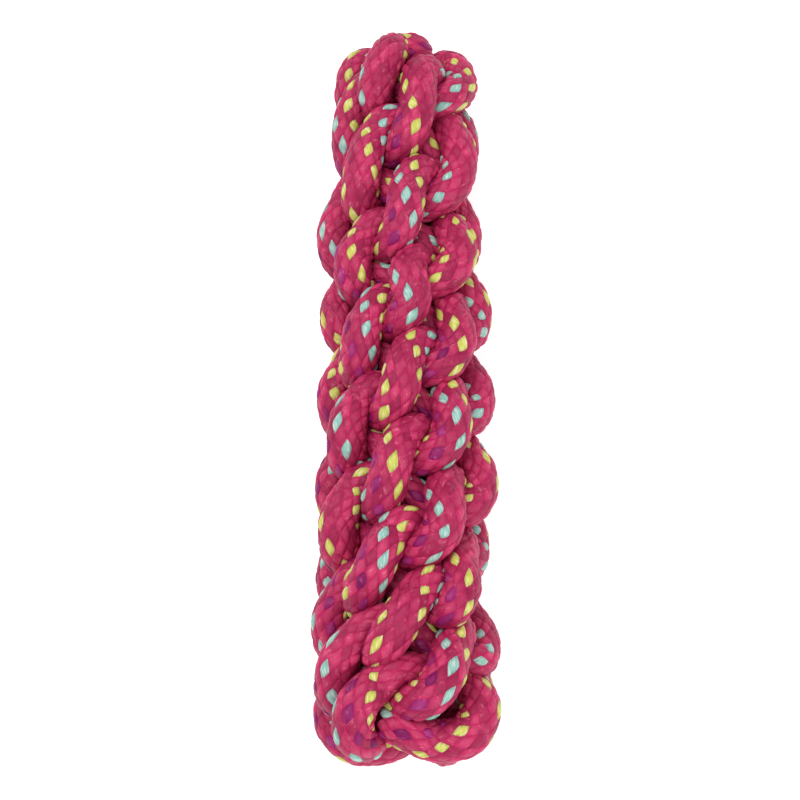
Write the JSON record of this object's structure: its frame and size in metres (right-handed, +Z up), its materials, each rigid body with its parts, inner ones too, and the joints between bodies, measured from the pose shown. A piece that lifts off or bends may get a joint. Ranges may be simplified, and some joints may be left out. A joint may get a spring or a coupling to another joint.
{
  "type": "rope dog toy",
  "caption": "Thick round stick of soft braided rope, its strands crowned over one another along its whole length, for a dog to fetch, tug and chew.",
  "frame": {"origin": "on the floor, under the middle of the stick's box", "axes": "+Y along the stick to its start, where the ropes cross; +Z up from the floor; +X to the right with the start ahead"},
  "size_m": [0.0538, 0.2238, 0.0536],
  "materials": {
    "braided_rope": "satin polypropylene braid, deep pink with yellow-green, pale teal and purple flecks"
  },
  "bodies": {
    "root": {"rope_over": "braided_rope", "rope_under": "braided_rope"}
  },
  "joints": []
}
